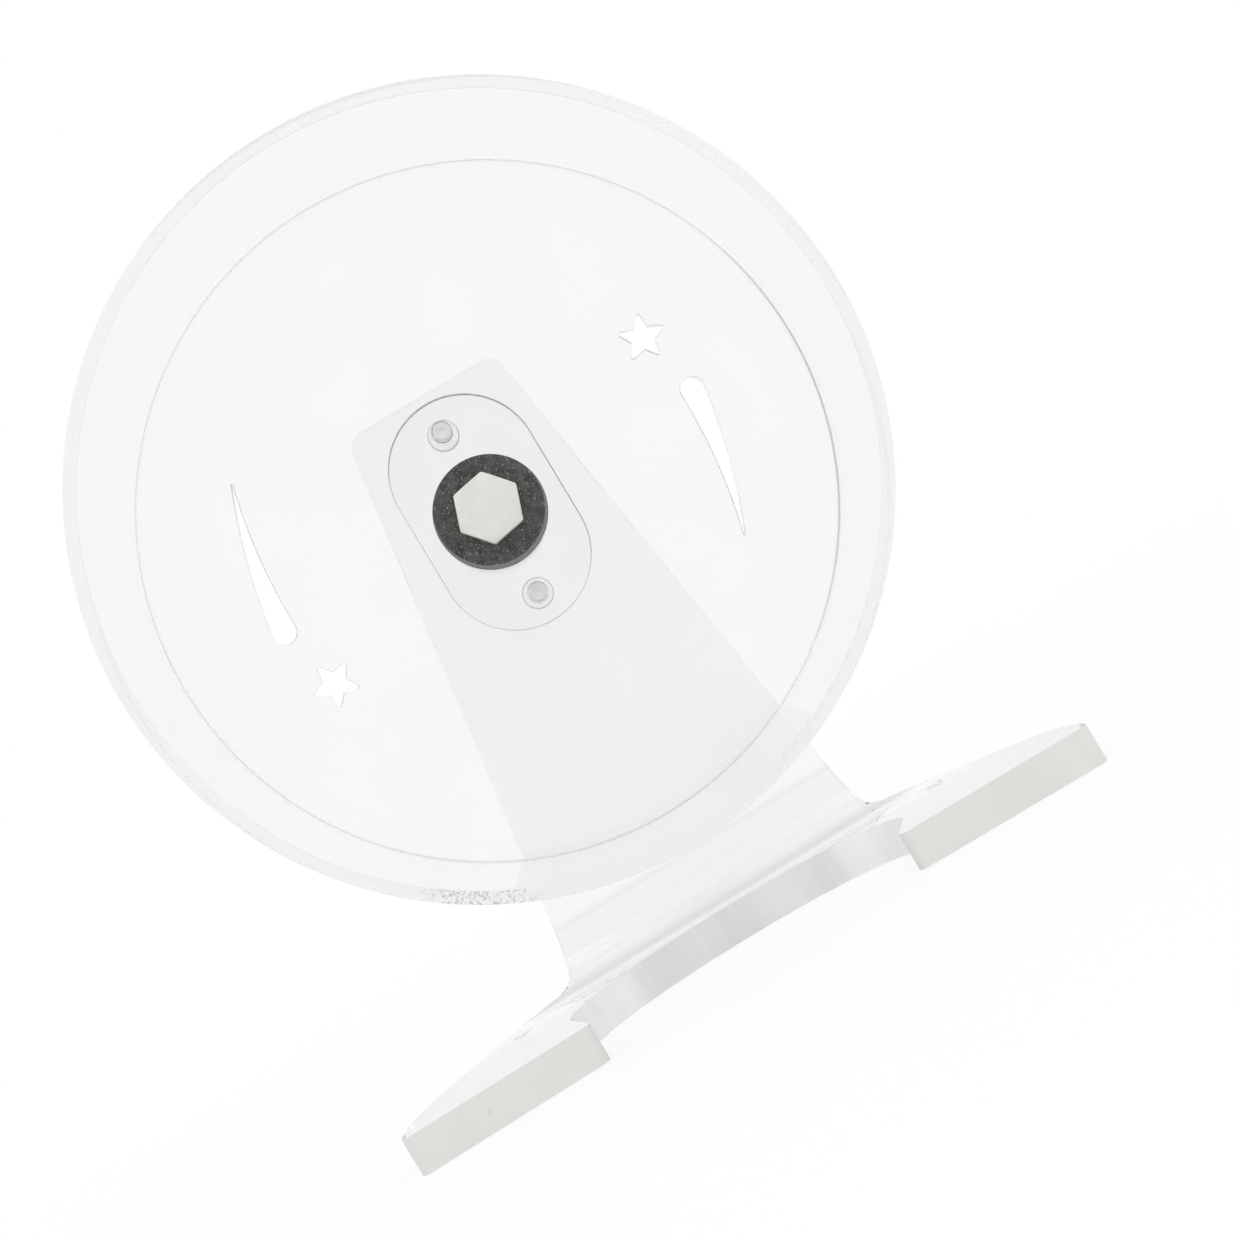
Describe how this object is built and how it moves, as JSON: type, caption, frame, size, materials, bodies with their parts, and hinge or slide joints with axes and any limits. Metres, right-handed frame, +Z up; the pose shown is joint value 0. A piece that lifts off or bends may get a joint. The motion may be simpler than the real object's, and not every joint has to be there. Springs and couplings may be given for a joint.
{
  "type": "hamster exercise wheel",
  "caption": "Clear acrylic running wheel for a hamster: an open drum with star and comet cut-outs that turns on a ball bearing in a heat-bent stand with a forked foot.",
  "frame": {"origin": "on the ground, under the middle of the whole object's length, width and depth", "axes": "+Z up; -Y the way the drum's open front faces; +X to the right of someone who looks into the open front"},
  "size_m": [0.15, 0.089, 0.1776],
  "materials": {
    "stand_acrylic": "polished clear acrylic sheet with sawn edges",
    "retainer_acrylic": "polished clear acrylic sheet",
    "drum_acrylic": "polished clear acrylic tube",
    "disc_acrylic": "polished clear acrylic sheet",
    "screw_plastic": "translucent moulded plastic",
    "bolt_plastic": "milky moulded plastic",
    "nut_plastic": "milky moulded plastic",
    "spacer_plastic": "milky moulded plastic",
    "washer_steel": "dark, dull zinc",
    "rear_washer_steel": "dull zinc",
    "outer_ring_steel": "ground bearing steel",
    "inner_ring_steel": "ground bearing steel",
    "shield_front_steel": "pressed steel",
    "shield_rear_steel": "pressed steel",
    "ball_steel": "polished bearing steel",
    "cage_plastic": "moulded nylon"
  },
  "bodies": {
    "stand": {"stand": "stand_acrylic", "bearing_retainer": "retainer_acrylic", "retainer_screw_upper": "screw_plastic", "retainer_screw_lower": "screw_plastic", "bearing_outer_ring": "outer_ring_steel", "bearing_shield_front": "shield_front_steel", "bearing_shield_rear": "shield_rear_steel"},
    "wheel": {"wheel_drum": "drum_acrylic", "wheel_back_disc": "disc_acrylic", "axle_bolt": "bolt_plastic", "front_washer": "washer_steel", "spacer_bush": "spacer_plastic", "rear_washer": "rear_washer_steel", "axle_nut": "nut_plastic", "bearing_inner_ring": "inner_ring_steel"},
    "cage": {"bearing_cage": "cage_plastic", "bearing_ball_1": "ball_steel", "bearing_ball_2": "ball_steel", "bearing_ball_3": "ball_steel", "bearing_ball_4": "ball_steel", "bearing_ball_5": "ball_steel", "bearing_ball_6": "ball_steel", "bearing_ball_7": "ball_steel"}
  },
  "joints": [
    {"name": "wheel_spin", "type": "hinge", "parent": "stand", "child": "wheel", "pos_m": [0, 0.0268, 0.1026], "axis": [0, 1, 0], "continuous": true},
    {"name": "cage_spin", "type": "hinge", "parent": "stand", "child": "cage", "pos_m": [0, 0.0268, 0.1026], "axis": [0, 1, 0], "continuous": true}
  ],
  "couplings": [
    {"joint": "cage_spin", "follows": "wheel_spin", "ratio": 0.372}
  ]
}
